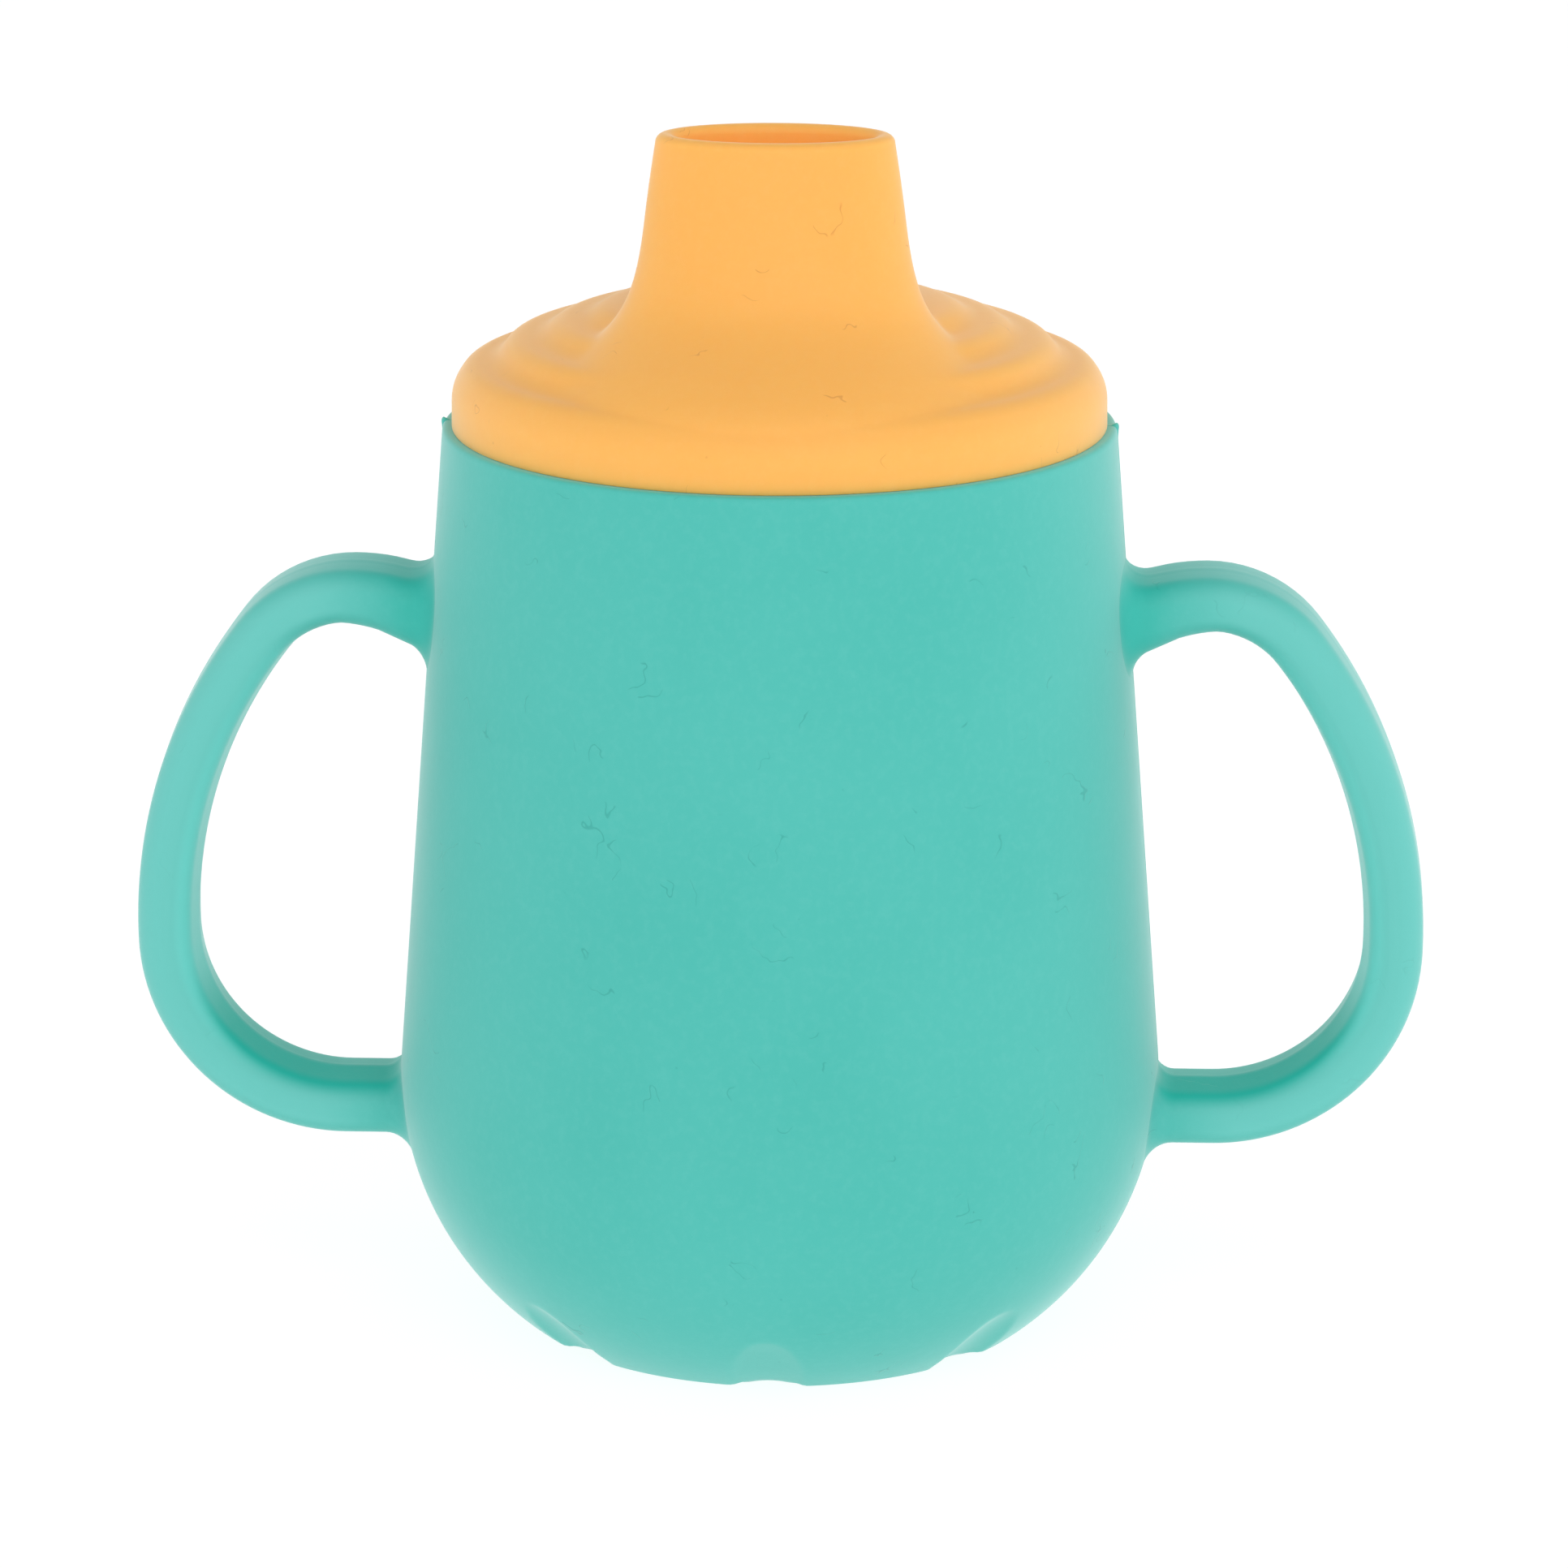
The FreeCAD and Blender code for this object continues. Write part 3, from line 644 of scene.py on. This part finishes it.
def lid_column(turn):
    """Points from under the lip down the spout, its flare and the dome to the shoulder."""
    reaches = [oval_reach(turn, oval) for oval in SPOUT_OVALS]
    levels = np.linspace(SPOUT_HEIGHTS[-1] * MM, LIP_HEIGHT - LIP_ROUND, 160)
    flare = smooth_curve(SPOUT_HEIGHTS[::-1], reaches[::-1], levels / MM)
    flare = np.minimum.accumulate(flare)
    side = SPOUT_Y * sin(turn)
    far = -side + sqrt(side ** 2 - SPOUT_Y ** 2 + SHOULDER_RADIUS ** 2)
    tip = flare[-1]
    spread = tip + (far - tip) * np.linspace(0, 1, 500) ** 1.8
    spout = np.interp(spread, flare[::-1], levels[::-1])
    spout = np.where(spread > flare[0], levels[0] - (spread - flare[0]) * 1.5, spout)
    x, y = spread * cos(turn), SPOUT_Y + spread * sin(turn)
    ground = dome_height(np.hypot(x, y))
    crest = np.maximum(spout, ground)
    blended = 0.5 * (spout + ground + np.sqrt((spout - ground) ** 2 + BLEND ** 2))
    ease = np.clip((spread - tip) / (1.5 * MM), 0, 1) * np.clip((far - spread) / (2 * MM), 0, 1)
    top = crest + (blended - crest) * ease
    length = np.concatenate([[0], np.cumsum(np.hypot(np.diff(spread), np.diff(top)))])
    steps = np.linspace(0, length[-1], COLUMN_ROWS)
    return np.stack([np.interp(steps, length, value) for value in (x, y, top)], 1)


def oval_ring(oval, height, inset):
    """Level ring that follows an oval, set in by a wall."""
    shrunk = (oval[0], oval[1] - inset / MM, oval[2] - inset / MM)
    reach = [oval_reach(turn, shrunk) for turn in spout_turns]
    return np.stack([reach * np.cos(spout_turns), SPOUT_Y + reach * np.sin(spout_turns),
                     np.full(AROUND, height)], 1)


def round_ring(radius, height, angles, centre_y=0.0):
    return np.stack([radius * np.cos(angles), centre_y + radius * np.sin(angles),
                     np.full(angles.size, height)], 1)


spout_turns = np.linspace(0, 2 * pi, AROUND, endpoint=False)
columns = np.array([lid_column(turn) for turn in spout_turns]).transpose(1, 0, 2)
lid_turns = np.arctan2(columns[-1][:, 1], columns[-1][:, 0])

# skirt, push-in ring with its ribs, and the hollow's side, all round about the lid's axis
shoulder = [(r, z, 0) for r, z in dome if r > SHOULDER_RADIUS]
ribs = []
for depth in RIB_DEPTHS:
    rib = RIM_HEIGHT - depth
    ribs += [(PLUG_RADIUS, rib + RIB_HALF, 0.3 * MM),
             (float(wall_radius(np.array(rib), WALL)) - RIB_GAP, rib, 0.4 * MM),
             (PLUG_RADIUS, rib - RIB_HALF, 0.3 * MM)]
lathe = soften(
    [(SHOULDER_RADIUS, float(dome_height(SHOULDER_RADIUS)), 0)] + shoulder[:-1]
    + [(SKIRT_RADIUS, RIM_HEIGHT, 0.12 * MM), (PLUG_RADIUS, RIM_HEIGHT, 0.3 * MM)] + ribs
    + [(PLUG_RADIUS, PLUG_BOTTOM, 0.7 * MM), (PLUG_RADIUS - PLUG_WALL, PLUG_BOTTOM, 0.7 * MM),
       (PLUG_RADIUS - PLUG_WALL, CEILING_EDGE, 1.5 * MM),
       (PLUG_RADIUS - PLUG_WALL - 2 * MM, CEILING_EDGE + 0.8 * MM, 0)])
lathe = pace_out(lathe, LATHE_PACE)[1:]
lid_rings = list(columns) + [round_ring(r, z, lid_turns) for r, z in lathe]

# ceiling of the hollow, in to the collar that holds the valve
collar_outer = round_ring(COLLAR_BORE + COLLAR_WALL, 0, spout_turns, COLLAR_Y)
ceiling_edge = lid_rings[-1]
for share in np.linspace(0, 1, 20)[1:]:
    ring = ceiling_edge + (collar_outer - ceiling_edge) * share
    radius = np.hypot(ring[:, 0], ring[:, 1])
    ring[:, 2] = np.interp(radius, CEILING_RADII, CEILING_HEIGHTS)
    lid_rings.append(ring)
under = lid_rings[-1][:, 2].min()
collar_steps = ((0, under - 1 * MM), (0, COLLAR_BOTTOM + COLLAR_ROUND),
                (-COLLAR_BEVEL, COLLAR_BOTTOM + COLLAR_BEVEL), (-COLLAR_ROUND, COLLAR_BOTTOM),
                (COLLAR_ROUND - COLLAR_WALL, COLLAR_BOTTOM),
                (COLLAR_BEVEL - COLLAR_WALL, COLLAR_BOTTOM + COLLAR_BEVEL),
                (-COLLAR_WALL, COLLAR_BOTTOM + COLLAR_ROUND), (-COLLAR_WALL, CHANNEL_FLOOR))
for radius, height in collar_steps:
    lid_rings.append(round_ring(COLLAR_BORE + COLLAR_WALL + radius, height, spout_turns, COLLAR_Y))

# channel up the spout, the drinking recess and the rolled lip
floor_bottom = LIP_HEIGHT - SPOUT_RECESS - SPOUT_FLOOR
lid_rings.append(oval_ring(SPOUT_OVALS[2], CHANNEL_FLOOR, CHANNEL_WALL))
lid_rings.append(oval_ring(SPOUT_OVALS[2], SPOUT_HEIGHTS[2] * MM, CHANNEL_WALL))
lid_rings.append(oval_ring(SPOUT_OVALS[1], floor_bottom + 0.4 * MM, CHANNEL_WALL))
for height in np.linspace(floor_bottom + 0.8 * MM, LIP_HEIGHT - LIP_ROUND, 8)[:-1]:
    lid_rings.append(oval_ring(SPOUT_OVALS[0], height, SPOUT_WALL))
lip_out = columns[0]
lip_in = oval_ring(SPOUT_OVALS[0], LIP_HEIGHT - LIP_ROUND, SPOUT_WALL)
for turn in np.linspace(pi, 0, 12)[:-1]:
    ring = (lip_out + lip_in) / 2 + (lip_out - lip_in) / 2 * cos(turn)
    ring[:, 2] = LIP_HEIGHT - LIP_ROUND * (1 - sin(turn))
    lid_rings.append(ring)
lid_shell = skin_over("lid_shell", lid_rings, closed=True)

# the moulded floor under the lip, with its three drinking holes
floor_plate = bpy.data.curves.new("drinking_floor", "CURVE")
floor_plate.dimensions = "2D"
floor_plate.fill_mode = "BOTH"
floor_plate.extrude = SPOUT_FLOOR / 2 - HOLE_ROUND
floor_plate.bevel_depth = HOLE_ROUND
floor_plate.bevel_resolution = 3
floor_plate.offset = -HOLE_ROUND
tip_x, tip_y = (half * MM - SPOUT_WALL + FLOOR_OVERLAP for half in SPOUT_OVALS[0][1:])
outlines = [(0, tip_x, tip_y)] + [(k * HOLE_PITCH, HOLE_RADIUS, HOLE_RADIUS) for k in (-1, 0, 1)]
for centre, half_x, half_y in outlines:
    count = 96 if half_x == tip_x else 40
    spline = floor_plate.splines.new("POLY")
    spline.points.add(count - 1)
    spline.use_cyclic_u = True
    for k in range(count):
        turn = 2 * pi * k / count
        spline.points[k].co = (centre + half_x * cos(turn), SPOUT_Y + half_y * sin(turn), 0, 1)
drawn = bpy.data.objects.new("drinking_floor_outline", floor_plate)
bpy.context.scene.collection.objects.link(drawn)
bpy.context.view_layer.update()
plate_mesh = bpy.data.meshes.new_from_object(drawn.evaluated_get(bpy.context.evaluated_depsgraph_get()))
plate_mesh.transform(Matrix.Translation((0, 0, floor_bottom + SPOUT_FLOOR / 2)))
plate_mesh.name = "drinking_floor"
drinking_floor = bpy.data.objects.new("drinking_floor", plate_mesh)
bpy.context.scene.collection.objects.link(drinking_floor)
bpy.data.objects.remove(drawn)

# the pin-hole that lets air in behind the spout
pin = bpy.data.meshes.new("vent_pin")
work = bmesh.new()
bmesh.ops.create_cone(work, cap_ends=True, segments=24, radius1=VENT_RADIUS,
                      radius2=VENT_RADIUS * VENT_FLARE, depth=8 * MM,
                      matrix=Matrix.Translation((0, VENT_Y, CROWN_HEIGHT - 2 * MM)))
work.to_mesh(pin)
work.free()
pin_tool = bpy.data.objects.new("vent_pin", pin)
bpy.context.scene.collection.objects.link(pin_tool)
cut = lid_shell.modifiers.new("vent", "BOOLEAN")
cut.operation = "DIFFERENCE"
cut.object = pin_tool
cut.solver = "EXACT"
bpy.context.view_layer.update()
pierced = bpy.data.meshes.new_from_object(lid_shell.evaluated_get(bpy.context.evaluated_depsgraph_get()))
lid_shell.modifiers.clear()
lid_shell.data = pierced
bpy.data.objects.remove(pin_tool)

apricot_silicone = silicone("apricot_silicone", (0.98, 0.48, 0.105), (0.95, 0.43, 0.08), (1.0, 0.54, 0.17),
                            (0.55, 0.20, 0.04), (1.0, 0.88, 0.76), 0.55)
for piece in (lid_shell, drinking_floor):
    piece.data.materials.clear()
    piece.data.materials.append(apricot_silicone)
    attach(piece, "lid")
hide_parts("spout_lid")

# ---- Spill valve ----
# A small plug of milky clear silicone with a slit crown, pushed up into the lid's collar and
# pulled out by its tab. It keeps its own moulded shape; only its finish is set here.
milky_silicone = silicone("milky_silicone", (0.80, 0.81, 0.77), (0.70, 0.72, 0.68), (0.90, 0.91, 0.89),
                          (0.55, 0.56, 0.52), (0.95, 0.95, 0.94), 0.35)
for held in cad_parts["spill_valve"].material_slots:
    held.material = milky_silicone

# ---- Studio ----
# A plain white sweep in a bright white room: light comes from in front and from both sides,
# and less of it from above.
floor = bpy.data.meshes.new("studio_floor")
floor.from_pydata([(-4, -4, 0), (4, -4, 0), (4, 4, 0), (-4, 4, 0)], [], [(0, 1, 2, 3)])
studio_floor = bpy.data.objects.new("studio_floor", floor)
bpy.context.scene.collection.objects.link(studio_floor)
paint = bpy.data.materials.new("studio_white")
paint.use_nodes = True
sweep = paint.node_tree.nodes["Principled BSDF"]
sweep.inputs["Base Color"].default_value = (0.22, 0.22, 0.22, 1)
sweep.inputs["Roughness"].default_value = 0.9
sweep.inputs["Specular IOR Level"].default_value = 0.0
sweep.inputs["Emission Color"].default_value = (1, 1, 1, 1)
sweep.inputs["Emission Strength"].default_value = 0.87
floor.materials.append(paint)

room = bpy.data.worlds.new("white_room")
room.use_nodes = True
tree = room.node_tree
backing = tree.nodes["Background"]
direction = tree.nodes.new("ShaderNodeTexCoord")
split = tree.nodes.new("ShaderNodeSeparateXYZ")
wire(tree, (direction.outputs["Generated"], split.inputs[0]))
overhead = band(tree, split.outputs["Z"], 0.1, 0.9)
level = maths(tree, "SUBTRACT", 1.0, maths(tree, "MULTIPLY", overhead, 0.58))
wire(tree, (level, backing.inputs["Color"]))
backing.inputs["Strength"].default_value = 0.95
bpy.context.scene.world = room

for label, spot, size, power in (("front_soft_box", (0.15, -0.85, 0.75), 0.9, 4.4),
                                 ("left_soft_box", (-0.8, 0.3, 0.2), 0.6, 0.9),
                                 ("right_soft_box", (0.8, 0.3, 0.2), 0.6, 1.6)):
    lamp = bpy.data.lights.new(label, "AREA")
    lamp.size = size
    lamp.energy = power
    soft_box = bpy.data.objects.new(label, lamp)
    soft_box.location = spot
    soft_box.rotation_euler = (Vector((0, 0, 0.06)) - Vector(spot)).to_track_quat("-Z", "Y").to_euler()
    bpy.context.scene.collection.objects.link(soft_box)

EYE_DISTANCE = 600 * MM
EYE_HEIGHT = 221 * MM
EYE_TURN = radians(2.4)
EYE_PITCH = radians(15.62)
EYE_SHIFT = 0.43 * MM
lens = bpy.data.cameras.new("front_view")
lens.sensor_width = 36
lens.lens = 145.9
lens.clip_start = 0.01
camera = bpy.data.objects.new("front_view", lens)
camera.location = (EYE_DISTANCE * sin(EYE_TURN) + EYE_SHIFT * cos(EYE_TURN),
                   -EYE_DISTANCE * cos(EYE_TURN) + EYE_SHIFT * sin(EYE_TURN), EYE_HEIGHT)
camera.rotation_euler = (pi / 2 - EYE_PITCH, 0, EYE_TURN)
bpy.context.scene.collection.objects.link(camera)
bpy.context.scene.camera = camera
bpy.context.scene.view_settings.view_transform = "Standard"
